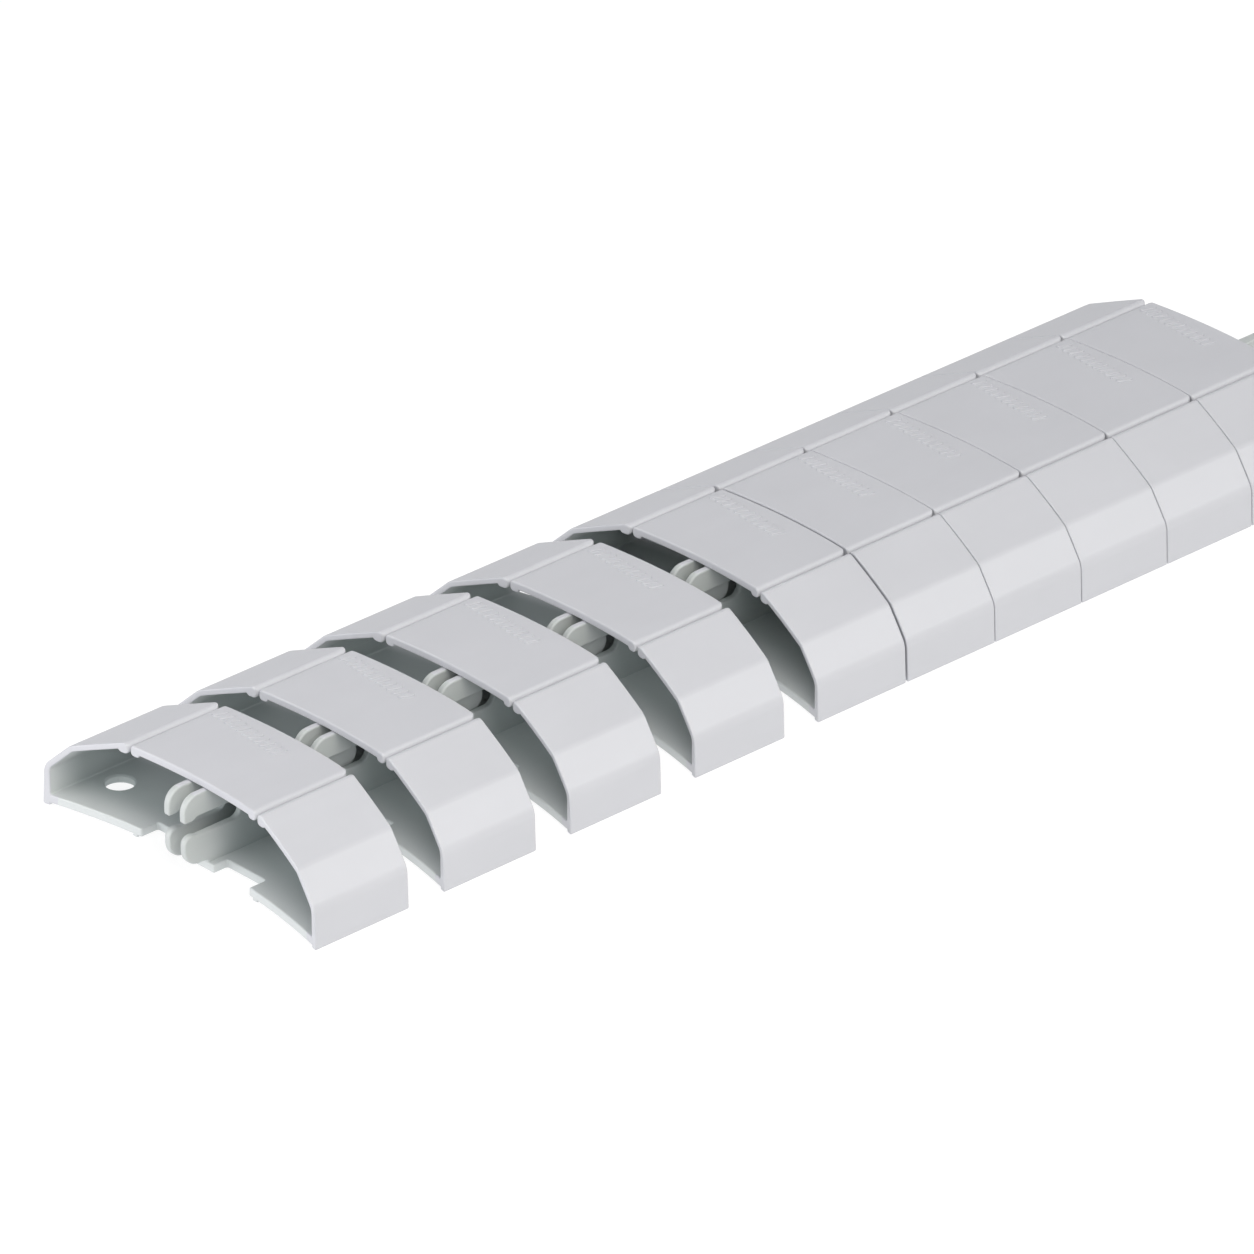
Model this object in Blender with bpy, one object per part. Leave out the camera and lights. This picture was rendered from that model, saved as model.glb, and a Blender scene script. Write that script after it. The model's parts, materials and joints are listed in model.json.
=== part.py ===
"""Flexible floor cable channel: ten like plastic links joined by pins that slide in open slots.

Each link is one moulding: a base plate, two side walls and two sloping wings, with a top plate
carried on two fins in the middle. Cables are pushed in through the two slits beside the top plate.
The two fins are forks that open to the front. A tongue at the rear of each link runs between the
next link's fins, and the pin through it slides in their slots, so a joint opens and closes.

Frame: metres, +Z up, floor at Z = 0, X across the channel, Y along it. The first link is at -Y.
"""
import math

import bmesh
import bpy
from mathutils import Matrix, Vector

MM = 0.001

# Driving dimensions, in millimetres
WIDTH = 100.0
HEIGHT = 25.0
LINK_LENGTH = 29.85
EDGE_SAG = 6.5
LINK_COUNT = 10
OPEN_PITCH = 41.2
CLOSED_PITCH = 30.15
NEARLY_CLOSED_PITCH = 30.6
OPEN_JOINTS = 4

# Section of the shell: base plate, walls and wings
HALF_WIDTH = WIDTH / 2
WALL_LEAN = 0.5
WALL_THICKNESS = 1.8
FOOT_WIDTH = 2.6
LOWER_BEND_HEIGHT = 10.9
UPPER_BEND_X = 41.8
UPPER_BEND_HEIGHT = 18.35
WING_THICKNESS = 1.6
BASE_BOTTOM = 1.0
BASE_TOP = 3.0
RUNNER_X = 22.0
RUNNER_WIDTH = 1.6
BEND_RADIUS = 4.0
FLOOR_FILLET = 1.5

# Slit and the beads along its two sides
WING_EDGE_X = 23.65
PLATE_EDGE_X = 22.65
WING_BEAD_WIDTH = 3.2
PLATE_BEAD_WIDTH = 2.0
BEAD_DEPTH = 3.0
EDGE_ROUNDING = 1.1

# Top plate and the two fins that carry it
PLATE_THICKNESS = 2.2
PLATE_UNDERSIDE = HEIGHT - PLATE_THICKNESS
FIN_CENTRE_X = 2.85
FIN_THICKNESS = 1.9
FIN_REAR = 28.7
FIN_ROOT = 0.9
NOSE_FRONT = -1.0
NOSE_TOP = 22.5
NOSE_RADIUS = 3.2
SLOT_FLOOR = 11.75
SLOT_CEILING = 16.6
SLOT_REAR = 17.25
SLOT_CORNER = 2.35
CATCH_HEIGHT = 0.45
CATCH_LENGTH = 1.4
LOWER_NOSE_BOTTOM = 4.25
LOWER_NOSE_RADIUS = 3.4

# Plan of the base plate
LUG_INNER_X = 19.7
KEY_HALF_WIDTH = 5.8
NOTCH_DEPTH = 4.4
TAB_CLEARANCE = 0.5
SCREW_HOLE_X = 41.0
SCREW_HOLE_Y = 17.0
SCREW_HOLE_DIAMETER = 7.6

# Tongue and cross pin at the rear
WEB_FRONT = 26.7
TONGUE_THICKNESS = 3.2
TONGUE_HALF_HEIGHT = 3.8
TONGUE_REACH = 56.6
PIN_Y = 45.0
PIN_RADIUS = 2.1
PIN_HALF_LENGTH = 3.7
PIN_HEIGHT = (SLOT_FLOOR + SLOT_CEILING) / 2

# Fineness of the round stretches
FILLET_STEPS = 3
EDGE_ARC_STEPS = 8
ROUND_SEGMENTS = 20
OVERCUT = 5.0

PLASTIC_COLOUR = (0.62, 0.62, 0.65, 1.0)
PLASTIC_ROUGHNESS = 0.42

ARC_RADIUS = (HALF_WIDTH ** 2 + EDGE_SAG ** 2) / (2 * EDGE_SAG)


def clear_scene():
    """Remove every object that the file opens with."""
    for item in list(bpy.data.objects):
        bpy.data.objects.remove(item, do_unlink=True)


def new_collection(name):
    """Add a collection to the scene."""
    collection = bpy.data.collections.new(name)
    bpy.context.scene.collection.children.link(collection)
    return collection


def plastic_material():
    """Light grey satin plastic, the same in every link."""
    material = bpy.data.materials.new("light_grey_plastic")
    material.use_nodes = True
    shader = material.node_tree.nodes["Principled BSDF"]
    shader.inputs["Base Color"].default_value = PLASTIC_COLOUR
    shader.inputs["Roughness"].default_value = PLASTIC_ROUGHNESS
    shader.inputs["Metallic"].default_value = 0.0
    return material


def fillet(before, corner, after, radius):
    """Points of the arc that rounds a corner, or the corner itself where the radius is 0."""
    if radius <= 0:
        return [corner]
    a = (Vector(before) - Vector(corner)).normalized()
    b = (Vector(after) - Vector(corner)).normalized()
    half_angle = a.angle(b) / 2
    setback = radius / math.tan(half_angle)
    centre = Vector(corner) + (a + b).normalized() * (radius / math.sin(half_angle))
    start = Vector(corner) + a * setback - centre
    turn = (Vector(corner) + b * setback - centre).angle_signed(start)
    points = []
    for step in range(FILLET_STEPS + 1):
        angle = turn * step / FILLET_STEPS
        cos_a, sin_a = math.cos(angle), math.sin(angle)
        points.append((centre.x + start.x * cos_a - start.y * sin_a,
                       centre.y + start.x * sin_a + start.y * cos_a))
    return points


def rounded_outline(corners):
    """Closed outline from (u, v, radius) corners."""
    points = []
    for index, (u, v, radius) in enumerate(corners):
        before = corners[index - 1][:2]
        after = corners[(index + 1) % len(corners)][:2]
        points += fillet(before, (u, v), after, radius)
    return points


def mirrored(half):
    """Complete a section drawn from +X with its image at -X, in reverse order."""
    return half + [(-u, v, radius) for u, v, radius in reversed(half)]


def edge_y(x):
    """Y of the front edge at X: a shallow arc, furthest back in the middle."""
    return math.sqrt(ARC_RADIUS ** 2 - x ** 2) - (ARC_RADIUS - EDGE_SAG)


def extruded(name, points, low, high, turn, collection):
    """Solid of a flat outline, from low to high along its own normal, in millimetres of the link.

    turn brings the outline's plane, XY, to where it belongs.
    """
    curve = bpy.data.curves.new(name, "CURVE")
    curve.dimensions = "2D"
    curve.fill_mode = "BOTH"
    curve.extrude = (high - low) / 2 * MM
    spline = curve.splines.new("POLY")
    spline.points.add(len(points) - 1)
    for point, (u, v) in zip(spline.points, points):
        point.co = (u * MM, v * MM, 0.0, 1.0)
    spline.use_cyclic_u = True
    drawn = bpy.data.objects.new(name + "_outline", curve)
    collection.objects.link(drawn)
    drawn.matrix_world = turn @ Matrix.Translation((0.0, 0.0, (low + high) / 2 * MM))
    bpy.context.view_layer.update()
    evaluated = drawn.evaluated_get(bpy.context.evaluated_depsgraph_get())
    mesh = bpy.data.meshes.new_from_object(evaluated)
    mesh.name = name
    solid = bpy.data.objects.new(name, mesh)
    collection.objects.link(solid)
    solid.matrix_world = drawn.matrix_world.copy()
    bpy.data.objects.remove(drawn, do_unlink=True)
    bpy.data.curves.remove(curve)
    weld(mesh)
    return solid


def weld(mesh):
    """Join the loose caps of a converted outline to its sides."""
    work = bmesh.new()
    work.from_mesh(mesh)
    bmesh.ops.remove_doubles(work, verts=work.verts, dist=0.000001)
    bmesh.ops.recalc_face_normals(work, faces=work.faces)
    work.to_mesh(mesh)
    work.free()


# Planes: a section stands across the channel, a side view along it, a plan lies flat
SECTION = Matrix(((1, 0, 0, 0), (0, 0, -1, 0), (0, 1, 0, 0), (0, 0, 0, 1)))
SIDE = Matrix(((0, 0, 1, 0), (1, 0, 0, 0), (0, 1, 0, 0), (0, 0, 0, 1)))
PLAN = Matrix.Identity(4)


def disc(name, radius, low, high, matrix, collection):
    """Cylinder along its own Z, from low to high."""
    work = bmesh.new()
    bmesh.ops.create_cone(work, cap_ends=True, segments=ROUND_SEGMENTS, radius1=radius * MM,
                          radius2=radius * MM, depth=(high - low) * MM)
    mesh = bpy.data.meshes.new(name)
    work.to_mesh(mesh)
    work.free()
    solid = bpy.data.objects.new(name, mesh)
    collection.objects.link(solid)
    solid.matrix_world = matrix @ Matrix.Translation((0.0, 0.0, (low + high) / 2 * MM))
    return solid


def combine(target, tool, operation):
    """Add a live Boolean of a tool to the target."""
    modifier = target.modifiers.new(operation.lower() + "_" + tool.name, "BOOLEAN")
    modifier.operation = operation
    modifier.solver = "EXACT"
    modifier.object = tool
    tool.hide_render = True
    tool.display_type = "WIRE"


def shell_section():
    """Right half of the base plate, wall and wing, from the slit round to the slit again."""
    slope = (UPPER_BEND_HEIGHT - HEIGHT) / (UPPER_BEND_X - WING_EDGE_X)
    drop = WING_THICKNESS * math.hypot(1.0, slope)
    inner_bend_x = UPPER_BEND_X - 0.7
    inner_bend_z = UPPER_BEND_HEIGHT - drop + (inner_bend_x - UPPER_BEND_X) * slope
    bead_x = WING_EDGE_X + WING_BEAD_WIDTH
    bead_foot_z = inner_bend_z + (bead_x + 0.4 - inner_bend_x) * slope
    inner_wall_x = HALF_WIDTH - WALL_LEAN / 2 - WALL_THICKNESS
    outside = [
        (WING_EDGE_X, HEIGHT - BEAD_DEPTH, EDGE_ROUNDING),
        (WING_EDGE_X, HEIGHT, EDGE_ROUNDING),
        (UPPER_BEND_X, UPPER_BEND_HEIGHT, BEND_RADIUS),
        (HALF_WIDTH - WALL_LEAN, LOWER_BEND_HEIGHT, BEND_RADIUS),
        (HALF_WIDTH, 0.0, 0.0),
        (HALF_WIDTH - FOOT_WIDTH, 0.0, 0.0),
        (HALF_WIDTH - FOOT_WIDTH - 0.4, BASE_BOTTOM, 0.0),
        (RUNNER_X + RUNNER_WIDTH / 2, BASE_BOTTOM, 0.0),
        (RUNNER_X + RUNNER_WIDTH / 2, 0.0, 0.0),
        (RUNNER_X - RUNNER_WIDTH / 2, 0.0, 0.0),
        (RUNNER_X - RUNNER_WIDTH / 2, BASE_BOTTOM, 0.0),
    ]
    inside = [
        (bead_x, HEIGHT - BEAD_DEPTH, EDGE_ROUNDING / 2),
        (bead_x + 0.4, bead_foot_z, 0.0),
        (inner_bend_x, inner_bend_z, BEND_RADIUS - WING_THICKNESS),
        (inner_wall_x, LOWER_BEND_HEIGHT - 0.6, BEND_RADIUS - WALL_THICKNESS),
        (inner_wall_x, BASE_TOP, FLOOR_FILLET),
    ]
    left_outside = [(-u, v, radius) for u, v, radius in reversed(outside)]
    left_inside = [(-u, v, radius) for u, v, radius in inside]
    return outside + left_outside + left_inside + list(reversed(inside))


def plate_section():
    """Right half of the top plate with the bead along its edge."""
    bead_x = PLATE_EDGE_X - PLATE_BEAD_WIDTH
    return mirrored([
        (bead_x - 0.4, PLATE_UNDERSIDE, 0.0),
        (bead_x, HEIGHT - BEAD_DEPTH, EDGE_ROUNDING / 2),
        (PLATE_EDGE_X, HEIGHT - BEAD_DEPTH, EDGE_ROUNDING),
        (PLATE_EDGE_X, HEIGHT, EDGE_ROUNDING),
    ])


def fin_side():
    """Side view of a fin in (Y, Z): the fork with its slot, and the roots in both plates."""
    root = edge_y(FIN_CENTRE_X) + 0.1
    catch_end = NOSE_FRONT + LOWER_NOSE_RADIUS + 0.2
    return [
        (root, PLATE_UNDERSIDE + FIN_ROOT, 0.0),
        (root, NOSE_TOP, 0.0),
        (NOSE_FRONT, NOSE_TOP, NOSE_RADIUS),
        (NOSE_FRONT, SLOT_CEILING - CATCH_HEIGHT, 0.8 * CATCH_HEIGHT),
        (NOSE_FRONT + CATCH_LENGTH, SLOT_CEILING - CATCH_HEIGHT, 0.0),
        (NOSE_FRONT + 2 * CATCH_LENGTH, SLOT_CEILING, 0.0),
        (SLOT_REAR, SLOT_CEILING, SLOT_CORNER),
        (SLOT_REAR, SLOT_FLOOR, SLOT_CORNER),
        (catch_end + CATCH_HEIGHT, SLOT_FLOOR, 0.0),
        (catch_end, SLOT_FLOOR + CATCH_HEIGHT, 0.0),
        (NOSE_FRONT, SLOT_FLOOR + CATCH_HEIGHT, LOWER_NOSE_RADIUS),
        (NOSE_FRONT, LOWER_NOSE_BOTTOM, LOWER_NOSE_RADIUS),
        (root - FIN_ROOT, LOWER_NOSE_BOTTOM, 0.0),
        (root, BASE_TOP - FIN_ROOT, 0.0),
        (FIN_REAR, BASE_TOP - FIN_ROOT, 0.0),
        (FIN_REAR, PLATE_UNDERSIDE + FIN_ROOT, 0.0),
    ]


def footprint():
    """Plan of everything but the fins: the front arc, and the rear arc one link length behind."""
    front = []
    for step in range(EDGE_ARC_STEPS + 1):
        x = -HALF_WIDTH + WIDTH * step / EDGE_ARC_STEPS
        front.append((x, edge_y(x)))
    widened = [(-HALF_WIDTH - OVERCUT, 0.0)] + front + [(HALF_WIDTH + OVERCUT, 0.0)]
    rear = [(x, y + LINK_LENGTH) for x, y in reversed(widened)]
    return widened + rear


def notch_plan(side):
    """Plan of a notch in the front of the base plate, beside the middle key."""
    bottom = edge_y(KEY_HALF_WIDTH) + NOTCH_DEPTH
    return [(side * KEY_HALF_WIDTH, -OVERCUT), (side * LUG_INNER_X, -OVERCUT),
            (side * LUG_INNER_X, bottom), (side * KEY_HALF_WIDTH, bottom)]


def tab_plan(side):
    """Plan of the rear tab that enters the next link's notch when the joint is closed."""
    inner = side * (KEY_HALF_WIDTH + TAB_CLEARANCE)
    outer = side * (LUG_INNER_X - TAB_CLEARANCE)
    rear_edge = edge_y(KEY_HALF_WIDTH) + LINK_LENGTH
    end = rear_edge + NOTCH_DEPTH - TAB_CLEARANCE / 2
    return [(inner, rear_edge - OVERCUT), (outer, rear_edge - OVERCUT), (outer, end), (inner, end)]


def tongue_side():
    """Side view of the tongue in (Y, Z), with its round end."""
    low = PIN_HEIGHT - TONGUE_HALF_HEIGHT
    high = PIN_HEIGHT + TONGUE_HALF_HEIGHT
    end_radius = TONGUE_HALF_HEIGHT - 0.01
    return [(WEB_FRONT + 0.5, low, 0.0), (TONGUE_REACH, low, end_radius),
            (TONGUE_REACH, high, end_radius), (WEB_FRONT + 0.5, high, 0.0)]


def build_link(tools):
    """Join and cut the first link's moulding, and return it as one object."""
    y_low, y_high = -OVERCUT, LINK_LENGTH + EDGE_SAG + OVERCUT
    link = extruded("link_shell", rounded_outline(shell_section()), -y_high, -y_low, SECTION, tools)
    plate = extruded("top_plate", rounded_outline(plate_section()), -y_high, -y_low, SECTION, tools)
    plan = extruded("footprint", footprint(), -OVERCUT, HEIGHT + OVERCUT, PLAN, tools)
    combine(link, plate, "UNION")
    combine(link, plan, "INTERSECT")
    for side in (-1, 1):
        tab = extruded("rear_tab", tab_plan(side), BASE_BOTTOM, BASE_TOP, PLAN, tools)
        combine(link, tab, "UNION")
        notch = extruded("front_notch", notch_plan(side), -OVERCUT, BASE_TOP + 1.0, PLAN, tools)
        combine(link, notch, "DIFFERENCE")
        centre = side * FIN_CENTRE_X
        fin = extruded("fin", rounded_outline(fin_side()), centre - FIN_THICKNESS / 2,
                       centre + FIN_THICKNESS / 2, SIDE, tools)
        combine(link, fin, "UNION")
        place = Matrix.Translation((side * SCREW_HOLE_X * MM, SCREW_HOLE_Y * MM, 0.0))
        hole = disc("screw_hole", SCREW_HOLE_DIAMETER / 2, -OVERCUT, BASE_TOP + 1.0, place, tools)
        combine(link, hole, "DIFFERENCE")
    half_gap = FIN_CENTRE_X
    web_plan = [(-half_gap, WEB_FRONT), (half_gap, WEB_FRONT), (half_gap, FIN_REAR), (-half_gap, FIN_REAR)]
    web = extruded("fin_web", web_plan, BASE_TOP - FIN_ROOT, PLATE_UNDERSIDE + FIN_ROOT, PLAN, tools)
    combine(link, web, "UNION")
    half = TONGUE_THICKNESS / 2
    tongue = extruded("tongue", rounded_outline(tongue_side()), -half, half, SIDE, tools)
    combine(link, tongue, "UNION")
    across = SIDE @ Matrix.Translation((PIN_Y * MM, PIN_HEIGHT * MM, 0.0))
    pin = disc("cross_pin", PIN_RADIUS, -PIN_HALF_LENGTH, PIN_HALF_LENGTH, across, tools)
    combine(link, pin, "UNION")
    return link


def finished_mesh(link, material):
    """Mesh of the finished moulding in the link's own frame."""
    bpy.context.view_layer.update()
    evaluated = link.evaluated_get(bpy.context.evaluated_depsgraph_get())
    mesh = bpy.data.meshes.new_from_object(evaluated)
    mesh.name = "channel_link"
    mesh.transform(link.matrix_world)
    mesh.materials.clear()
    mesh.materials.append(material)
    mesh.shade_smooth()
    mesh.set_sharp_from_angle(angle=math.radians(30.0))
    return mesh


def link_positions():
    """Y of each link's wall front at rest: four open joints, one nearly closed, the rest closed."""
    positions = [0.0]
    for joint in range(LINK_COUNT - 1):
        if joint < OPEN_JOINTS:
            pitch = OPEN_PITCH
        elif joint == OPEN_JOINTS:
            pitch = NEARLY_CLOSED_PITCH
        else:
            pitch = CLOSED_PITCH
        positions.append(positions[-1] + pitch)
    return positions


def main():
    """Build one link, and place its ten copies along the channel."""
    clear_scene()
    channel = new_collection("cable_channel")
    tools = new_collection("cutters")
    link = build_link(tools)
    mesh = finished_mesh(link, plastic_material())
    positions = link_positions()
    chain_start = NOSE_FRONT
    chain_end = positions[-1] + TONGUE_REACH
    middle = (chain_start + chain_end) / 2
    for number, y in enumerate(positions, start=1):
        copy = bpy.data.objects.new(f"link_{number:02d}", mesh)
        copy.location = (0.0, (y - middle) * MM, 0.0)
        channel.objects.link(copy)
    link.hide_render = True
    link.display_type = "WIRE"


main()
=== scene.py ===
"""Looks of the flexible floor cable channel: ten like plastic links on a white studio floor.

Every link is one moulding. Its wings and walls, base plate, top plate, fork, tongue and pin are
made as rounded solids in the link's own frame (millimetres, X across, Y along the channel, Z up),
joined into one closed mesh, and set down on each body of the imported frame.
"""
from __future__ import annotations

import json
import logging
import math
from dataclasses import dataclass, field
from enum import Enum
from typing import Any, Callable, Iterable, Sequence

import bmesh
import bpy
from mathutils import Matrix, Vector

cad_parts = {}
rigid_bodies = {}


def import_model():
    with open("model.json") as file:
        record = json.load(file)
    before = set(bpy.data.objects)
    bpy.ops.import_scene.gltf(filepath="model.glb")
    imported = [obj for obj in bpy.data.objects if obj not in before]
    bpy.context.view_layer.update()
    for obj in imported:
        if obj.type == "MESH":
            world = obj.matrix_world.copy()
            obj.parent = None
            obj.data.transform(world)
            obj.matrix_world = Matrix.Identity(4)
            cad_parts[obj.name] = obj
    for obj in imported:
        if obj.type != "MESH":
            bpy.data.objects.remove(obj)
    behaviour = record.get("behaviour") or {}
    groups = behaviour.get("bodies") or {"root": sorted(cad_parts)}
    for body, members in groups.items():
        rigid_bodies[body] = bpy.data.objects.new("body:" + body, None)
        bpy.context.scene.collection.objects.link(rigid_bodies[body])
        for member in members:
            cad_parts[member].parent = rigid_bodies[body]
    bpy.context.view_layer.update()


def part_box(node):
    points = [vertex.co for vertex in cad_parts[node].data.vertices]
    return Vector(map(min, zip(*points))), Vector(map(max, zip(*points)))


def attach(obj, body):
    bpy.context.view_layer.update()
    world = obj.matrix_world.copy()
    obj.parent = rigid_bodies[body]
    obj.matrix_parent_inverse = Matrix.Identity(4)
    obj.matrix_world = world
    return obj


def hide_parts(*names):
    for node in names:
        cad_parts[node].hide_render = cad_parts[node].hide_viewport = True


LOG = logging.getLogger("cable_channel")
MM = 0.001
PLACE = "mould_place"
SAME_LEVEL = 1e-5
WELD = 1e-4


class Plane(Enum):
    """Upright planes that a solid is stood up in after it was drawn flat."""

    SECTION = "across the channel: X, Z, with depth along Y"
    SIDE = "along the channel: Y, Z, with depth along X"

    def matrix(self) -> Matrix:
        """Matrix that stands the drawing plane up in the link's frame.

        Returns:
            The matrix.
        """
        rows = {
            Plane.SECTION: ((1, 0, 0, 0), (0, 0, 1, 0), (0, 1, 0, 0), (0, 0, 0, 1)),
            Plane.SIDE: ((0, 0, 1, 0), (1, 0, 0, 0), (0, 1, 0, 0), (0, 0, 0, 1)),
        }
        return Matrix(rows[self])


class Side(Enum):
    """The two sides of the channel's middle plane."""

    LEFT = -1
    RIGHT = 1


class Zone(Enum):
    """Material slots of a link: its outside, the inside of its chambers, and its fork, whose
    colours carry painted light and shade.
    """

    SKIN = 0
    INSIDE = 1
    FORK = 2


@dataclass(frozen=True)
class Corner:
    """A corner of an outline, in millimetres.

    Attributes:
        u: First coordinate in the drawing plane.
        v: Second coordinate in the drawing plane.
        radius: Radius that rounds the corner, or 0 where it stays sharp.
    """

    u: float
    v: float
    radius: float = 0.0


def mirrored(half: Sequence[Corner]) -> list[Corner]:
    """Corners of one half of an outline, and those of the other half that mirrors it."""
    return [*half, *(Corner(-c.u, c.v, c.radius) for c in reversed(half))]


@dataclass(frozen=True)
class LinkPlan:
    """Sizes that all parts of the moulding share, in millimetres."""

    half_width: float = 50.0
    height: float = 25.0
    length: float = 30.0
    edge_sag: float = 6.5
    floor_top: float = 2.95
    floor_bottom: float = 0.65
    rim: float = 0.42
    rim_steps: int = 4
    rear_corner: float = 1.7
    front_corner: float = 0.8
    arc_steps: int = 9
    pitch: float = 3.5

    @property
    def arc_radius(self) -> float:
        """Radius of the shallow arc that the front and rear edges follow."""
        return (self.half_width ** 2 + self.edge_sag ** 2) / (2 * self.edge_sag)

    def edge_y(self, x: float) -> float:
        """Y of the front edge at an X across the channel.

        Args:
            x: Place across the channel.

        Returns:
            Y of the edge, 0 at the walls and furthest back in the middle.
        """
        rise = math.sqrt(max(self.arc_radius ** 2 - x ** 2, 0.0))
        return rise - (self.arc_radius - self.edge_sag)

    def settle(self, y: float, x: float, from_slit: float) -> float:
        """How far a point of a plate or wing moves along Y, with the corners at the slits rounded.

        Args:
            y: Place along the straight blank.
            x: Place across the channel.
            from_slit: Distance from the edge at the slit.

        Returns:
            The shift, in millimetres.
        """
        rear = y > self.length / 2
        radius = self.rear_corner if rear else self.front_corner
        beyond = min(max(1.0 - from_slit / radius, 0.0), 1.0)
        pulled = radius * (1.0 - math.sqrt(1.0 - beyond ** 2))
        return self.edge_y(x) + (-pulled if rear else pulled)


class Solid:
    """A closed solid that grows from a rounded outline."""

    def __init__(self) -> None:
        """Start with an empty mesh."""
        self.mesh = bmesh.new()

    @classmethod
    def prism(cls, corners: Sequence[Corner], low: float, high: float, rim: float = 0.0,
              rim_steps: int = 3, arc_steps: int = 6, longest: float = 1000.0) -> "Solid":
        """Give a rounded outline a depth, and round the edges of both its faces.

        Args:
            corners: Corners of the outline in order.
            low: Where the solid starts along the outline's normal.
            high: Where it ends.
            rim: Radius that rounds the edges of both end faces, or 0.
            rim_steps: Segments of that rounding.
            arc_steps: Segments of each rounded corner.
            longest: Edges of the outline longer than this are divided.

        Returns:
            The solid in the drawing plane.
        """
        solid = cls()
        mesh = solid.mesh
        verts = [mesh.verts.new((c.u, c.v, low)) for c in corners]
        mesh.faces.new(verts)
        for index, corner in enumerate(corners):
            if corner.radius > 0:
                solid._round(verts[index], corners, index, arc_steps)
        for edge in list(mesh.edges):
            cuts = math.ceil(edge.calc_length() / longest) - 1
            if cuts > 0:
                bmesh.ops.subdivide_edges(mesh, edges=[edge], cuts=cuts)
        grown = bmesh.ops.extrude_face_region(mesh, geom=list(mesh.faces), use_keep_orig=True)
        lifted = [item for item in grown["geom"] if isinstance(item, bmesh.types.BMVert)]
        bmesh.ops.translate(mesh, verts=lifted, vec=(0.0, 0.0, high - low))
        bmesh.ops.recalc_face_normals(mesh, faces=list(mesh.faces))
        if rim > 0:
            solid.round_edges(solid.cap_edges(low, high), rim, rim_steps)
        return solid

    def _round(self, vert: bmesh.types.BMVert, corners: Sequence[Corner], index: int,
               steps: int) -> None:
        """Round one corner of the flat outline.

        Args:
            vert: The corner's vertex.
            corners: All corners of the outline.
            index: Which of them it is.
            steps: Segments of the rounding.
        """
        corner = corners[index]
        before, after = corners[index - 1], corners[(index + 1) % len(corners)]
        back, ahead = (Vector((c.u - corner.u, c.v - corner.v)) for c in (before, after))
        setback = corner.radius / math.tan(back.angle(ahead) / 2)
        bmesh.ops.bevel(self.mesh, geom=[vert], offset=setback, offset_type="OFFSET",
                        segments=steps, profile=0.5, affect="VERTICES", clamp_overlap=False,
                        material=-1)

    def cap_edges(self, low: float, high: float) -> list[bmesh.types.BMEdge]:
        """Edges that lie wholly in one of the two end faces.

        Args:
            low: Level of the first end face.
            high: Level of the second one.

        Returns:
            The edges round both end faces.
        """
        return [edge for edge in self.mesh.edges
                if any(all(abs(v.co.z - level) < SAME_LEVEL for v in edge.verts)
                       for level in (low, high))]

    def round_edges(self, edges: list[bmesh.types.BMEdge], radius: float, steps: int) -> None:
        """Round the given edges.

        Args:
            edges: Edges of the mesh.
            radius: Radius of the rounding.
            steps: Its segments.
        """
        bmesh.ops.bevel(self.mesh, geom=edges, offset=radius, offset_type="OFFSET", segments=steps,
                        profile=0.5, affect="EDGES", clamp_overlap=False, material=-1)

    def stand(self, plane: Plane) -> "Solid":
        """Stand the solid up from its drawing plane.

        Args:
            plane: The plane that it stands in.

        Returns:
            The same solid, with its normals outwards.
        """
        self.mesh.transform(plane.matrix())
        bmesh.ops.recalc_face_normals(self.mesh, faces=list(self.mesh.faces))
        self.mesh.normal_update()
        return self

    def bend(self, shift: Callable[[float, float], float]) -> "Solid":
        """Move every point along Y by an amount that depends on where it is in plan.

        Args:
            shift: Gives the amount for an X and a Y.

        Returns:
            The same solid.
        """
        many_sided = [face for face in self.mesh.faces if len(face.verts) > 4]
        bmesh.ops.triangulate(self.mesh, faces=many_sided, ngon_method="BEAUTY")
        for vert in self.mesh.verts:
            vert.co.y += shift(vert.co.x, vert.co.y)
        return self

    def move(self, offset: Sequence[float]) -> "Solid":
        """Move the solid by an offset in millimetres."""
        bmesh.ops.translate(self.mesh, verts=list(self.mesh.verts), vec=Vector(offset))
        return self

    def turn(self, degrees: float) -> "Solid":
        """Turn the solid about Z.

        Args:
            degrees: Angle, counterclockwise from above.

        Returns:
            The same solid.
        """
        matrix = Matrix.Rotation(math.radians(degrees), 3, "Z")
        bmesh.ops.rotate(self.mesh, verts=list(self.mesh.verts), cent=(0, 0, 0), matrix=matrix)
        return self

    def finish(self, name: str) -> bpy.types.Mesh:
        """Write the solid out as a mesh with its faces outwards.

        Args:
            name: Name of the mesh.

        Returns:
            The mesh, in millimetres.
        """
        bmesh.ops.remove_doubles(self.mesh, verts=list(self.mesh.verts), dist=WELD)
        bmesh.ops.recalc_face_normals(self.mesh, faces=list(self.mesh.faces))
        mesh = bpy.data.meshes.new(name)
        self.mesh.to_mesh(mesh)
        self.mesh.free()
        return mesh


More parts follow.
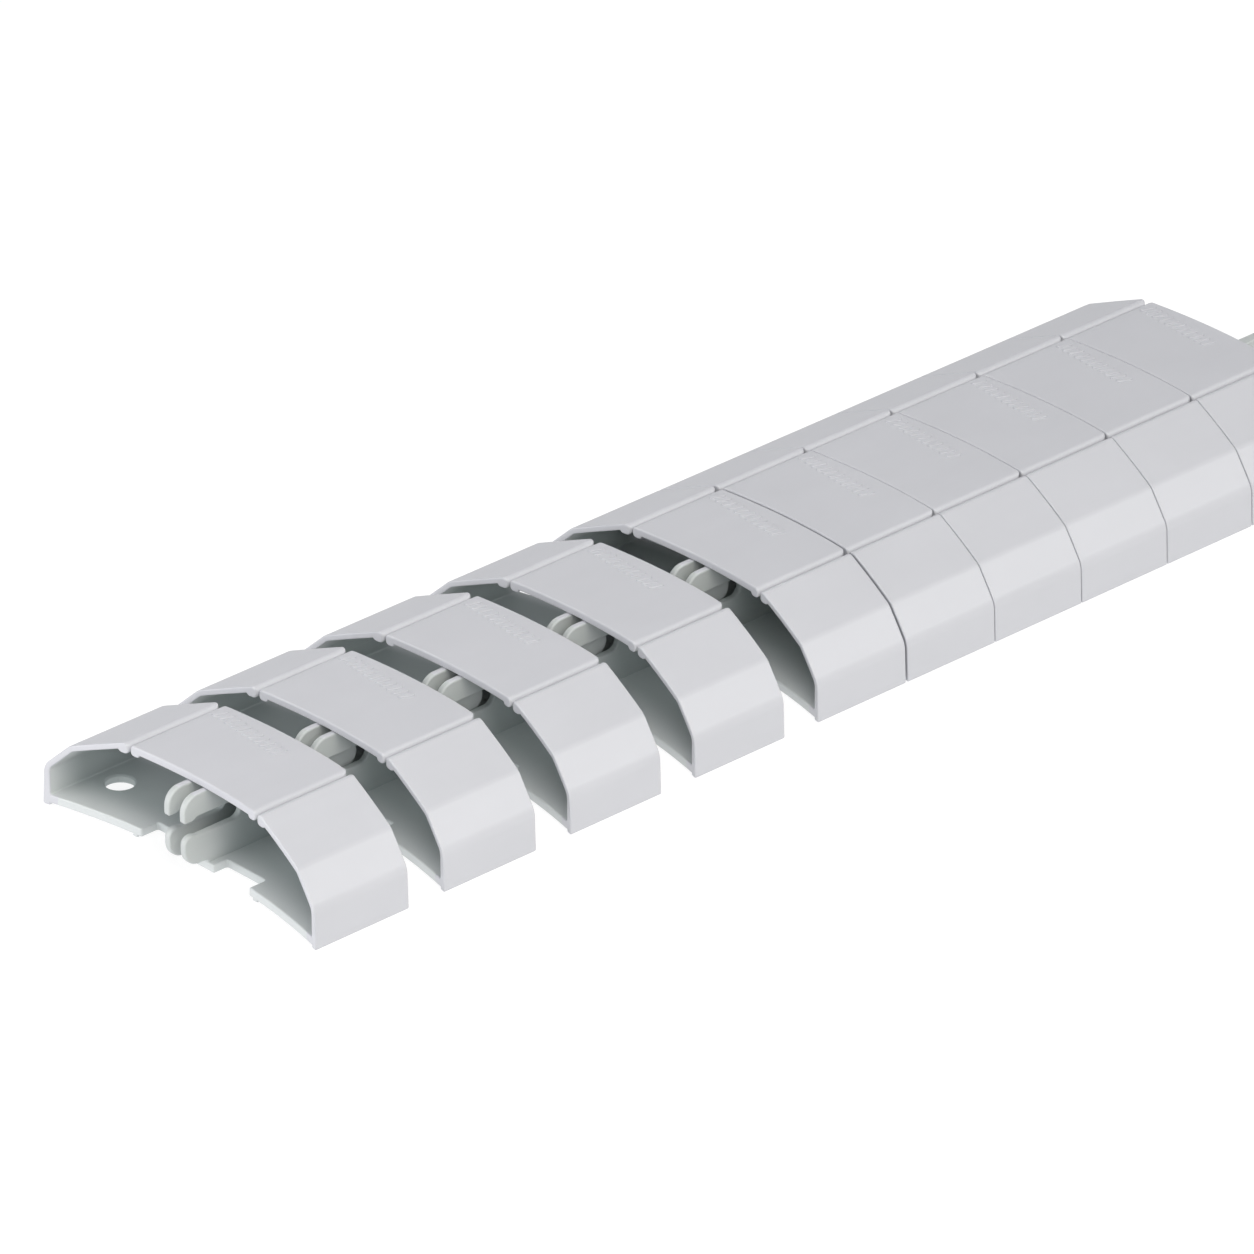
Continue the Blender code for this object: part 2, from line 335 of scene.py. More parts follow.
@dataclass
class WingShell:
    """One side of the channel: bead at the slit, sloping wing, wall, foot and a strip of floor."""

    plan: LinkPlan
    edge_x: float = 23.45
    bead_top: float = 24.85
    bead_bottom: float = 21.95
    bead_rounding: float = 1.38
    bead_width: float = 3.3
    bead_taper: float = 0.45
    bead_inner_rounding: float = 1.15
    notch_rounding: float = 0.2
    crest_x: float = 25.2
    crest_rounding: float = 1.6
    bend_x: float = 41.8
    bend_z: float = 18.35
    wall_top_x: float = 49.5
    wall_top_z: float = 10.9
    bend_radius: float = 4.0
    inner_bend_in: float = 0.7
    inner_wall_drop: float = 0.6
    wing_thickness: float = 1.6
    wall_thickness: float = 1.8
    wall_lean: float = 0.25
    foot_width: float = 2.1
    foot_rounding: float = 0.6
    floor_fillet: float = 0.5
    floor_strip_x: float = 43.5

    def outline(self, side: Side) -> list[Corner]:
        """Section of the side, from the slit's lower corner round to the bead's inner corner.

        Args:
            side: Which side of the channel.

        Returns:
            Corners in X and Z.
        """
        plan = self.plan
        slope = (self.bend_z - self.bead_top) / (self.bend_x - self.crest_x)
        drop = self.wing_thickness * math.hypot(1.0, slope)
        inner_x = self.bend_x - self.inner_bend_in
        inner_z = self.bend_z - drop - self.inner_bend_in * slope
        notch_x = self.edge_x + self.bead_width
        wall_x = plan.half_width - self.wall_lean - self.wall_thickness
        wall_z = self.wall_top_z - self.inner_wall_drop
        foot_x = plan.half_width - self.foot_width
        corners = [
            Corner(self.edge_x, self.bead_bottom, self.bead_rounding),
            Corner(self.edge_x, self.bead_top, self.bead_rounding),
            Corner(self.crest_x, self.bead_top, self.crest_rounding),
            Corner(self.bend_x, self.bend_z, self.bend_radius),
            Corner(self.wall_top_x, self.wall_top_z, self.bend_radius),
            Corner(plan.half_width, 0.0, self.foot_rounding),
            Corner(foot_x, 0.0, self.foot_rounding),
            Corner(foot_x, plan.floor_bottom),
            Corner(self.floor_strip_x, plan.floor_bottom),
            Corner(self.floor_strip_x, plan.floor_top),
            Corner(wall_x, plan.floor_top, self.floor_fillet),
            Corner(wall_x, wall_z, self.bend_radius - self.wall_thickness),
            Corner(inner_x, inner_z, self.bend_radius - self.wing_thickness),
            Corner(notch_x, inner_z + (notch_x - inner_x) * slope, self.notch_rounding),
            Corner(notch_x - self.bead_taper, self.bead_bottom, self.bead_inner_rounding),
        ]
        return [Corner(side.value * c.u, c.v, c.radius) for c in corners]

    def build(self, side: Side) -> bpy.types.Mesh:
        """Mesh of one side.

        Args:
            side: Which side of the channel.

        Returns:
            The closed mesh.
        """
        plan = self.plan
        solid = Solid.prism(self.outline(side), 0.0, plan.length, plan.rim, plan.rim_steps,
                            plan.arc_steps, plan.pitch)
        solid.stand(Plane.SECTION)
        solid.bend(lambda x, y: plan.settle(y, x, abs(x) - self.edge_x))
        return solid.finish(f"wing_{side.name.lower()}")


@dataclass
class TopPlate:
    """The middle plate between the slits, with a round bead along both its sides."""

    plan: LinkPlan
    edge_x: float = 22.95
    thickness: float = 2.05
    bead_bottom: float = 22.15
    bead_rounding: float = 1.4
    bead_width: float = 3.05
    bead_taper: float = 0.35
    bead_inner_rounding: float = 0.8
    notch_rounding: float = 0.2

    def build(self) -> bpy.types.Mesh:
        """Mesh of the plate.

        Returns:
            The closed mesh.
        """
        plan = self.plan
        notch_x = self.edge_x - self.bead_width
        half = [
            Corner(notch_x, plan.height - self.thickness, self.notch_rounding),
            Corner(notch_x + self.bead_taper, self.bead_bottom, self.bead_inner_rounding),
            Corner(self.edge_x, self.bead_bottom, self.bead_rounding),
            Corner(self.edge_x, plan.height, self.bead_rounding),
        ]
        solid = Solid.prism(mirrored(half), 0.0, plan.length, plan.rim, plan.rim_steps,
                            plan.arc_steps, plan.pitch)
        solid.stand(Plane.SECTION)
        solid.bend(lambda x, y: plan.settle(y, x, self.edge_x - abs(x)))
        return solid.finish("top_plate")


@dataclass
class BasePlate:
    """The floor of the link, with its front notches, middle key and rear tabs, and its runners."""

    plan: LinkPlan
    half_width: float = 45.0
    key_half_width: float = 5.8
    lug_inner_x: float = 19.7
    notch_depth: float = 4.4
    tab_clearance: float = 0.5
    outer_rounding: float = 0.5
    inner_rounding: float = 0.6
    corner_steps: int = 4
    runner_x: float = 22.0
    runner_width: float = 1.6
    runner_rounding: float = 0.3
    runner_root: float = 0.8
    runner_inset: float = 0.1
    runner_rim: float = 0.25
    arc_pitch: float = 3.0

    def _edge(self, offset: float, outer: float, inner: float, level: float, at_arc: float,
              at_level: float) -> list[Corner]:
        """The arc of one edge, with a step off it on each side of the middle.

        Args:
            offset: How far behind the front edge the arc lies.
            outer: How far out each step reaches.
            inner: How far in it reaches.
            level: Y of the steps.
            at_arc: Radius of their corners on the arc.
            at_level: Radius of their other corners.

        Returns:
            Corners from left to right.
        """
        def on_arc(x: float, radius: float = 0.0) -> Corner:
            """Corner on the arc."""
            return Corner(x, self.plan.edge_y(x) + offset, radius)

        stops = mirrored([
            on_arc(-self.half_width), on_arc(-outer, at_arc), Corner(-outer, level, at_level),
            Corner(-inner, level, at_level), on_arc(-inner, at_arc)])
        edge: list[Corner] = []
        for here, ahead in zip(stops, stops[1:]):
            edge.append(here)
            if level not in (here.v, ahead.v):
                span = ahead.u - here.u
                count = max(1, round(abs(span) / self.arc_pitch))
                edge += [on_arc(here.u + span * step / count) for step in range(1, count)]
        return edge + [stops[-1]]

    def outline(self) -> list[Corner]:
        """Plan of the plate: front edge from left to right, then the rear edge back.

        Returns:
            Corners in X and Y.
        """
        plan, key, lug, gap = self.plan, self.key_half_width, self.lug_inner_x, self.tab_clearance
        bottom = plan.edge_y(key) + self.notch_depth
        end = plan.edge_y(key) + plan.length + self.notch_depth - gap / 2
        front = self._edge(0.0, lug, key, bottom, self.outer_rounding, self.inner_rounding)
        rear = self._edge(plan.length, lug - gap, key + gap, end, self.inner_rounding,
                          self.outer_rounding)
        return front + list(reversed(rear))

    def build(self) -> bpy.types.Mesh:
        """Mesh of the plate.

        Returns:
            The closed mesh.
        """
        plan = self.plan
        solid = Solid.prism(self.outline(), plan.floor_bottom, plan.floor_top, plan.rim,
                            plan.rim_steps, self.corner_steps)
        return solid.finish("base_plate")

    def runner(self, side: Side) -> bpy.types.Mesh:
        """Mesh of the low bar under the plate, which stands on the floor.

        Args:
            side: Which side of the channel.

        Returns:
            The closed mesh.
        """
        plan, half = self.plan, self.runner_width / 2
        top = plan.floor_bottom + self.runner_root
        rounding = self.runner_rounding
        corners = [Corner(-half, 0.0, rounding), Corner(half, 0.0, rounding), Corner(half, top),
                   Corner(-half, top)]
        solid = Solid.prism(corners, self.runner_inset, plan.length - self.runner_inset,
                            self.runner_rim, rim_steps=2, arc_steps=3)
        x = side.value * self.runner_x
        solid.stand(Plane.SECTION).move((x, plan.edge_y(x), 0.0))
        return solid.finish(f"runner_{side.name.lower()}")


@dataclass
class Fork:
    """The two fins that carry the top plate and open to the front as a fork with a long slot."""

    plan: LinkPlan
    centre_x: float = 2.85
    thickness: float = 1.9
    rear: float = 28.7
    root: float = 0.9
    root_behind_edge: float = 0.6
    root_rounding: float = 0.8
    plate_underside: float = 22.95
    nose_front: float = -0.75
    nose_top: float = 22.8
    nose_radius: float = 4.3
    slot_floor: float = 11.6
    slot_ceiling: float = 16.65
    slot_rear: float = 17.25
    slot_corner: float = 2.4
    catch_height: float = 0.8
    catch_length: float = 2.6
    catch_ramp: float = 1.7
    catch_rounding: float = 0.8
    step_rounding: float = 1.2
    lower_nose_top: float = 12.0
    lower_nose_bottom: float = 3.7
    lower_nose_radius: float = 4.6
    lower_lip_radius: float = 2.2
    lower_step_front: float = 2.9
    lower_step_rear: float = 4.2
    web_front: float = 26.7
    web_rear_inset: float = 0.05
    web_root_inset: float = 0.1
    edge_radius: float = 0.5
    edge_steps: int = 4
    arc_steps: int = 8

    def outline(self) -> list[Corner]:
        """Side view of a fin: roots in both plates, the two noses and the slot between them.

        Returns:
            Corners in Y and Z.
        """
        plan = self.plan
        root_y = plan.edge_y(self.centre_x) + self.root_behind_edge
        ceiling, catch = self.slot_ceiling, self.slot_ceiling - self.catch_height
        nose, step = self.nose_front, self.step_rounding
        behind = nose + self.catch_length
        return [
            Corner(root_y, self.plate_underside + self.root),
            Corner(root_y, self.nose_top),
            Corner(nose, self.nose_top, self.nose_radius),
            Corner(nose, catch, self.catch_rounding),
            Corner(behind, catch, step),
            Corner(behind + self.catch_ramp, ceiling, step),
            Corner(self.slot_rear, ceiling, self.slot_corner),
            Corner(self.slot_rear, self.slot_floor, self.slot_corner),
            Corner(nose + self.lower_step_rear, self.slot_floor, step),
            Corner(nose + self.lower_step_front, self.lower_nose_top, step),
            Corner(nose, self.lower_nose_top, self.lower_lip_radius),
            Corner(nose, self.lower_nose_bottom, self.lower_nose_radius),
            Corner(root_y - self.root, self.lower_nose_bottom, self.root_rounding),
            Corner(root_y, plan.floor_top - self.root),
            Corner(self.rear, plan.floor_top - self.root),
            Corner(self.rear, self.plate_underside + self.root),
        ]

    def fin(self, side: Side) -> bpy.types.Mesh:
        """Mesh of one fin.

        Args:
            side: Which side of the middle plane.

        Returns:
            The closed mesh.
        """
        half = self.thickness / 2
        solid = Solid.prism(self.outline(), -half, half, self.edge_radius, self.edge_steps,
                            self.arc_steps)
        solid.stand(Plane.SIDE).move((side.value * self.centre_x, 0.0, 0.0))
        return solid.finish(f"fin_{side.name.lower()}")

    def web(self) -> bpy.types.Mesh:
        """Mesh of the web that joins the two fins at the rear.

        Returns:
            The closed mesh.
        """
        x, rear = self.centre_x, self.rear - self.web_rear_inset
        corners = [Corner(-x, self.web_front), Corner(x, self.web_front), Corner(x, rear),
                   Corner(-x, rear)]
        low = self.plan.floor_top - self.root + self.web_root_inset
        high = self.plate_underside + self.root - self.web_root_inset
        return Solid.prism(corners, low, high).finish("fin_web")


@dataclass
class Tongue:
    """The tongue behind the fins, with the cross pin that slides in the next link's slots."""

    half_thickness: float = 1.6
    half_height: float = 3.8
    start: float = 27.2
    reach: float = 56.6
    pin_y: float = 45.0
    pin_z: float = 14.175
    pin_radius: float = 2.1
    pin_half_length: float = 3.7
    pin_rounding: float = 0.35
    pin_segments: int = 40
    edge_radius: float = 0.5
    edge_steps: int = 4
    tip_flat: float = 0.02
    tip_steps: int = 12

    def blade(self) -> bpy.types.Mesh:
        """Mesh of the flat tongue with its round end.

        Returns:
            The closed mesh.
        """
        low, high = self.pin_z - self.half_height, self.pin_z + self.half_height
        end = self.half_height - self.tip_flat
        corners = [Corner(self.start, low), Corner(self.reach, low, end),
                   Corner(self.reach, high, end), Corner(self.start, high)]
        solid = Solid.prism(corners, -self.half_thickness, self.half_thickness, self.edge_radius,
                            self.edge_steps, self.tip_steps)
        return solid.stand(Plane.SIDE).finish("tongue")

    def pin(self) -> bpy.types.Mesh:
        """Mesh of the cross pin with rounded ends.

        Returns:
            The closed mesh.
        """
        solid = Solid()
        depth = 2 * self.pin_half_length
        bmesh.ops.create_cone(solid.mesh, cap_ends=True, cap_tris=False,
                              segments=self.pin_segments, radius1=self.pin_radius,
                              radius2=self.pin_radius, depth=depth)
        ends = solid.cap_edges(-self.pin_half_length, self.pin_half_length)
        solid.round_edges(ends, self.pin_rounding, steps=3)
        return solid.stand(Plane.SIDE).move((0.0, self.pin_y, self.pin_z)).finish("cross_pin")


@dataclass
class ScrewHoles:
    """The two plain holes in the base plate, with softened rims."""

    plan: LinkPlan
    x: float = 41.0
    y: float = 17.0
    radius: float = 3.7
    rim: float = 0.4
    overrun: float = 0.5
    segments: int = 48

    def cutter(self, side: Side) -> bpy.types.Mesh:
        """Turned body that cuts the hole: a cylinder that flares where it leaves the plate.

        Args:
            side: Which side of the channel.

        Returns:
            The closed mesh.
        """
        plan = self.plan
        solid = Solid()
        flare = self.radius + self.rim
        low, high = plan.floor_bottom, plan.floor_top
        under, over = low - self.overrun, high + self.overrun
        levels = [(0.0, under), (flare, under), (flare, low), (self.radius, low + self.rim),
                  (self.radius, high - self.rim), (flare, high), (flare, over), (0.0, over)]
        verts = [solid.mesh.verts.new((r, 0.0, z)) for r, z in levels]
        edges = [solid.mesh.edges.new(pair) for pair in zip(verts, verts[1:])]
        bmesh.ops.spin(solid.mesh, geom=verts + edges, cent=(0, 0, 0), axis=(0, 0, 1),
                       dvec=(0, 0, 0), angle=2 * math.pi, steps=self.segments, use_merge=True)
        return solid.move((side.value * self.x, self.y, 0.0)).finish(f"hole_{side.name.lower()}")


@dataclass
class GripMarks:
    """A row of plain raised bars at the rear left of the top plate."""

    plan: LinkPlan
    count: int = 11
    start: tuple[float, float] = (-19.6, 31.4)
    end: tuple[float, float] = (4.6, 29.0)
    length: float = 4.2
    width: float = 1.25
    lean: float = -14.0
    height: float = 0.4
    root: float = 0.6
    end_share: float = 0.95
    rim_share: float = 0.55

    def build(self) -> list[bpy.types.Mesh]:
        """Meshes of the bars.

        Returns:
            One closed mesh for each bar.
        """
        start, end = Vector(self.start), Vector(self.end)
        angle = math.degrees(math.atan2(end.y - start.y, end.x - start.x)) + self.lean
        u, v = self.width / 2, self.length / 2
        rounding = u * self.end_share
        corners = [Corner(-u, -v, rounding), Corner(u, -v, rounding), Corner(u, v, rounding),
                   Corner(-u, v, rounding)]
        low, high = self.plan.height - self.root, self.plan.height + self.height
        bars = []
        for index in range(self.count):
            place = start.lerp(end, index / (self.count - 1))
            bar = Solid.prism(corners, low, high, self.height * self.rim_share, rim_steps=2,
                              arc_steps=4)
            bar.turn(angle).move((place.x, place.y, 0.0))
            bars.append(bar.finish(f"grip_mark_{index:02d}"))
        return bars


def put(name: str, data: Any, group: bpy.types.Collection | None = None) -> bpy.types.Object:
    """Make an object and link it.

    Args:
        name: Name of the object.
        data: Its mesh, light or camera.
        group: The collection that takes it, or None for the scene's own.

    Returns:
        The object.
    """
    thing = bpy.data.objects.new(name, data)
    target = bpy.context.scene.collection if group is None else group
    target.objects.link(thing)
    return thing


def finished_mesh(thing: bpy.types.Object) -> bpy.types.Mesh:
    """Mesh of an object with its modifiers applied.

    Args:
        thing: An object in the scene.

    Returns:
        A new mesh.
    """
    bpy.context.view_layer.update()
    graph = bpy.context.evaluated_depsgraph_get()
    return bpy.data.meshes.new_from_object(thing.evaluated_get(graph))


class Joiner:
    """Joins loose solids into one closed mesh and cuts others out of it."""

    def __init__(self) -> None:
        """Open the collections that hold the solids while they are joined."""
        self.wanted = bpy.data.collections.new("joined_solids")
        self.cutters = bpy.data.collections.new("cutting_solids")
        for group in (self.wanted, self.cutters):
            bpy.context.scene.collection.children.link(group)

    def join(self, name: str, solids: Sequence[bpy.types.Mesh],
             cutters: Sequence[bpy.types.Mesh]) -> bpy.types.Mesh:
        """Join the solids and take the cutters away.

        Args:
            name: Name of the result.
            solids: Closed meshes to join.
            cutters: Closed meshes to cut with.

        Returns:
            One closed mesh, in millimetres.
        """
        body = put(name, solids[0])
        for mesh in solids[1:]:
            put(mesh.name, mesh, self.wanted)
        for mesh in cutters:
            put(mesh.name, mesh, self.cutters)
        for operation, group in (("UNION", self.wanted), ("DIFFERENCE", self.cutters)):
            modifier = body.modifiers.new(operation.lower(), "BOOLEAN")
            modifier.operation = operation
            modifier.solver = "EXACT"
            modifier.operand_type = "COLLECTION"
            modifier.collection = group
        result = finished_mesh(body)
        result.name = name
        self._clear(body)
        return result

    def _clear(self, body: bpy.types.Object) -> None:
        """Remove everything that was only needed for joining.

        Args:
            body: The object that carried the Booleans.
        """
        for group in (self.wanted, self.cutters):
            for thing in list(group.objects):
                bpy.data.meshes.remove(thing.data)
            bpy.data.collections.remove(group)
        bpy.data.meshes.remove(body.data)


def math_operator(operation: str, swapped: bool = False) -> Callable[["Signal", Any], "Signal"]:
    """Make the method behind one of Python's operators.

    Args:
        operation: The Math node's operation.
        swapped: Whether the signal stands on the right of the operator.

    Returns:
        A method that adds the node.
    """
    def apply(self: "Signal", other: Any) -> "Signal":
        """Add the Math node."""
        first, second = (other, self) if swapped else (self, other)
        return self.graph.node("ShaderNodeMath", {"operation": operation}, {0: first, 1: second})

    return apply


class Signal:
    """A shader socket that takes part in Python arithmetic."""

    def __init__(self, graph: "Graph", socket: bpy.types.NodeSocket) -> None:
        """Wrap an output socket.

        Args:
            graph: The graph that the socket belongs to.
            socket: The output socket.
        """
        self.graph = graph
        self.socket = socket

    __add__ = __radd__ = math_operator("ADD")
    __sub__, __rsub__ = math_operator("SUBTRACT"), math_operator("SUBTRACT", swapped=True)
    __mul__ = __rmul__ = math_operator("MULTIPLY")
    __truediv__, __rtruediv__ = math_operator("DIVIDE"), math_operator("DIVIDE", swapped=True)
    __pow__, __rpow__ = math_operator("POWER"), math_operator("POWER", swapped=True)


class Graph:
    """The node graph of one material."""

    def __init__(self, name: str) -> None:
        """Open a new material with an empty graph.

        Args:
            name: Name of the material.
        """
        self.material = bpy.data.materials.new(name)
        self.material.use_nodes = True
        self.tree = self.material.node_tree
        self.tree.nodes.clear()

    def node(self, kind: str, settings: dict[str, Any], inputs: dict[str | int, Any],
             output: str | int = 0) -> Signal:
        """Add a node.

        Args:
            kind: Blender's type of node.
            settings: Properties to set first; "stops" are a colour ramp's places and colours.
            inputs: Values or signals for the sockets, by name or number.
            output: The output that is handed back.

        Returns:
            The output as a signal.
        """
        made = self.tree.nodes.new(kind)
        for key, value in settings.items():
            if key == "stops":
                self._stops(made.color_ramp, value)
            else:
                setattr(made, key, value)
        for key, value in inputs.items():
            if isinstance(value, Signal):
                self.tree.links.new(value.socket, made.inputs[key])
            else:
                made.inputs[key].default_value = value
        return Signal(self, made.outputs[output] if len(made.outputs) else None)

    @staticmethod
    def _stops(ramp: bpy.types.ColorRamp, stops: Sequence[tuple[float, Sequence[float]]]) -> None:
        """Set the stops of a colour ramp.

        Args:
            ramp: The ramp.
            stops: Places and colours from left to right.
        """
        while len(ramp.elements) < len(stops):
            ramp.elements.new(1.0)
        for element, (place, colour) in zip(ramp.elements, stops):
            element.position = place
            element.color = (*colour, 1.0)

    def noise(self, place: Signal, scale: float, detail: float = 2.0,
              roughness: float = 0.5) -> Signal:
        """Noise between 0 and 1 on given coordinates.

        Args:
            place: The coordinates.
            scale: Waves for each metre.
            detail: Finer waves on the first ones.
            roughness: How strong they are.

        Returns:
            The noise's value.
        """
        return self.node("ShaderNodeTexNoise", {"noise_dimensions": "3D"}, {
            "Vector": place, "Scale": scale, "Detail": detail, "Roughness": roughness})

    def stretched(self, place: Signal, scale: Sequence[float],
                  turn: Sequence[float] = (0, 0, 0)) -> Signal:
        """Coordinates drawn out differently along each axis.

        Args:
            place: The coordinates.
            scale: Factor for each axis.
            turn: Rotation in degrees about each axis.

        Returns:
            The new coordinates.
        """
        angles = tuple(math.radians(a) for a in turn)
        return self.node("ShaderNodeMapping", {}, {
            "Vector": place, "Scale": scale, "Rotation": angles})

    def ramp(self, value: Signal, stops: Sequence[tuple[float, Sequence[float]]]) -> Signal:
        """Colour for a value."""
        return self.node("ShaderNodeValToRGB", {"stops": stops}, {0: value})

    def rise(self, value: Any, start: float, end: float) -> Signal:
        """Smooth step from 0 at one value to 1 at another."""
        return self.node("ShaderNodeMapRange", {"interpolation_type": "SMOOTHSTEP"},
                         {0: value, 1: start, 2: end, 3: 0.0, 4: 1.0})

    def mix(self, factor: Any, first: Any, second: Any) -> Signal:
        """Colour between two colours."""
        return self.node("ShaderNodeMix", {"data_type": "RGBA"},
                         {0: factor, 6: first, 7: second}, 2)


@dataclass(frozen=True)
class MouldedPlastic:
    """Satin thermoplastic from a spark-eroded mould.

    Attributes:
        name: Name of the material.
        colour: Middle colour.
        painted_shade_colour: Painted shade deep inside the channel, where little light gets.
        deepening: How far behind the front edge the deep colour is reached, in metres. From
            the rear edge it takes a third of that.
        clouding: How much lighter and darker the colour gets in slow clouds.
        streaking: Share of the flow streaks in those clouds.
        roughness: Middle roughness.
        roughness_spread: How much the roughness varies.
        grain: Height of the fine mould grain, in metres.
        sink: Height of the slow waves that shrinkage leaves, in metres.
        bump: Strength of both reliefs.
        scuffs: Strength of the fine rub marks.
        rub_tint: How far a rub mark turns pale.
        rub_dulling: Roughness that a rub mark adds.
        specular: Specular level.
        ior: Index of refraction.
    """

    name: str
    colour: tuple[float, float, float]
    painted_shade_colour: tuple[float, float, float] | None = None
    deepening: float = 0.013
    clouding: float = 0.02
    streaking: float = 0.3
    roughness: float = 0.36
    roughness_spread: float = 0.08
    grain: float = 0.000012
    sink: float = 0.00004
    bump: float = 0.6
    scuffs: float = 0.5
    rub_tint: float = 0.3
    rub_dulling: float = 0.06
    specular: float = 0.5
    ior: float = 1.47

    def _shade(self, factor: float) -> tuple[float, ...]:
        """Middle colour made lighter or darker by a factor."""
        return tuple(min(1.0, channel * factor) for channel in self.colour)

    def _painted_shade_depth(self, graph: Graph) -> Signal:
        """How deep inside the channel a point lies, from 0 at either opening to 1: the mask of the
        painted shade.

        Args:
            graph: The material's graph.

        Returns:
            The depth.
        """
        place = graph.node("ShaderNodeAttribute", {"attribute_name": PLACE}, {}, "Vector")
        across = graph.node("ShaderNodeSeparateXYZ", {}, {0: place}, "X")
        along = graph.node("ShaderNodeSeparateXYZ", {}, {0: place}, "Y")
        plan = LinkPlan()
        sag, length = plan.edge_sag * MM, plan.length * MM
        behind = along + (across / (plan.half_width * MM)) ** 2.0 * sag - sag
        front = graph.rise(behind, 0.0, self.deepening)
        return front * graph.rise(length - behind, 0.0, self.deepening / 3)

    def build(self) -> bpy.types.Material:
        """Build the material.

        Returns:
            The material.
        """
        graph = Graph(self.name)
        place = graph.node("ShaderNodeTexCoord", {}, {}, "Object")
        clouds = graph.noise(place, scale=38.0, detail=3.0, roughness=0.55)
        streaks = graph.noise(graph.stretched(place, (1.0, 0.18, 1.0)), scale=160.0)
        grain = graph.noise(place, scale=2600.0, detail=1.0)
        waves = graph.noise(place, scale=95.0, detail=1.0)
        slanted = graph.stretched(place, (1.0, 0.06, 1.0), turn=(0.0, 0.0, 24.0))
        rubs = graph.noise(slanted, scale=900.0, roughness=0.6)
        rubbed = graph.rise(rubs, start=0.66, end=0.78) * self.scuffs
        level = clouds * (1.0 - self.streaking) + streaks * self.streaking
        low, high = self._shade(1.0 - self.clouding), self._shade(1.0 + self.clouding)
        tint = graph.ramp(level, [(0.3, low), (0.7, high)])
        # Painted shade: blend towards the darker colour deep inside the channel.
        if self.painted_shade_colour is not None:
            tint = graph.mix(self._painted_shade_depth(graph), tint, (*self.painted_shade_colour, 1.0))
        colour = graph.mix(rubbed * self.rub_tint, tint, (*self._shade(1.05), 1.0))
        smooth = self.roughness - self.roughness_spread / 2
        roughness = clouds * self.roughness_spread + rubbed * self.rub_dulling + smooth
        fine = graph.node("ShaderNodeBump", {}, {
            "Strength": self.bump, "Distance": self.grain, "Height": grain})
        surface = graph.node("ShaderNodeBump", {}, {
            "Strength": self.bump, "Distance": self.sink, "Height": waves, "Normal": fine})
        shader = graph.node("ShaderNodeBsdfPrincipled", {}, {
            "Base Color": colour, "Roughness": roughness, "Metallic": 0.0, "Normal": surface,
            "Specular IOR Level": self.specular, "IOR": self.ior})
        graph.node("ShaderNodeOutputMaterial", {}, {"Surface": shader})
        return graph.material


@dataclass(frozen=True)
class StudioFloor:
    """Plain white floor of the studio."""

    name: str = "studio_white"
    colour: tuple[float, float, float] = (0.2, 0.2, 0.2)
    glow: float = 0.85

    def build(self) -> bpy.types.Material:
        """Build the material.

        Returns:
            The material.
        """
        graph = Graph(self.name)
        shader = graph.node("ShaderNodeBsdfPrincipled", {}, {
            "Base Color": (*self.colour, 1.0), "Roughness": 0.9, "Specular IOR Level": 0.1,
            "Emission Color": (1.0, 1.0, 1.0, 1.0), "Emission Strength": self.glow})
        graph.node("ShaderNodeOutputMaterial", {}, {"Surface": shader})
        return graph.material


SKIN = MouldedPlastic("skin_satin_grey", colour=(0.53, 0.535, 0.57))
# The inside's lighter colour near the openings is painted light, and its darker, cooler deep
# colour is painted shade; its higher roughness is a real duller finish.
INSIDE = MouldedPlastic("inside_dull_painted_light_and_shade", colour=(0.57, 0.595, 0.6),
                        painted_shade_colour=(0.38, 0.42, 0.42), roughness=0.5, scuffs=0.3)
# The fork's darker colour and its deep colour are painted shade; its higher roughness is a real
# duller finish.
FORK = MouldedPlastic("fork_dull_painted_shade", colour=(0.485, 0.51, 0.51),
                      painted_shade_colour=(0.34, 0.38, 0.38), roughness=0.45, scuffs=0.3)


@dataclass
class ZoneMap:
    """Where one material of the moulding gives way to the next, in millimetres. The inside and
    fork materials differ by a duller finish and by painted light and shade in their colours.

    Attributes:
        plan: Sizes that the moulding's parts share.
        floor_x, floor_z: The floor's reach across, and the level that it lies under.
        fork_x, fork_z: The same for the fins and the tongue.
        rim: Depth of the front and rear rims, which are outside.
        wall_x, wall_z: Where the walls start across, and where the wings start above them.
        slit_x, bead_x: Where the beads beside the slits start and end.
        plate_z: Level over which the top plate is outside.
        outward: How far a normal points outwards or up on an outer face.
    """

    plan: LinkPlan
    floor_x: float = 46.0
    floor_z: float = 3.4
    fork_x: float = 6.0
    fork_z: float = 22.6
    rim: float = 0.5
    wall_x: float = 40.0
    wall_z: float = 17.0
    slit_x: float = 23.2
    bead_x: float = 24.6
    plate_z: float = 23.4
    outward: float = 0.2

    def zone(self, place: Vector, normal: Vector) -> Zone:
        """Zone of a face from where it lies and faces.

        Args:
            place: Middle of the face.
            normal: Its normal.

        Returns:
            The zone.
        """
        across, z = abs(place.x), place.z
        front = self.plan.edge_y(place.x)
        within = front + self.rim < place.y < front + self.plan.length - self.rim
        sideways = normal.x * math.copysign(1.0, place.x)
        if across < self.floor_x and z < self.floor_z:
            return Zone.INSIDE
        if across < self.fork_x and z < self.fork_z:
            return Zone.FORK
        if across > self.wall_x and z < self.wall_z:
            outside = sideways > self.outward
        elif across > self.slit_x and z > self.wall_z:
            outside = normal.z > self.outward or across < self.bead_x
        else:
            outside = z > self.plate_z
        return Zone.SKIN if outside or not within else Zone.INSIDE


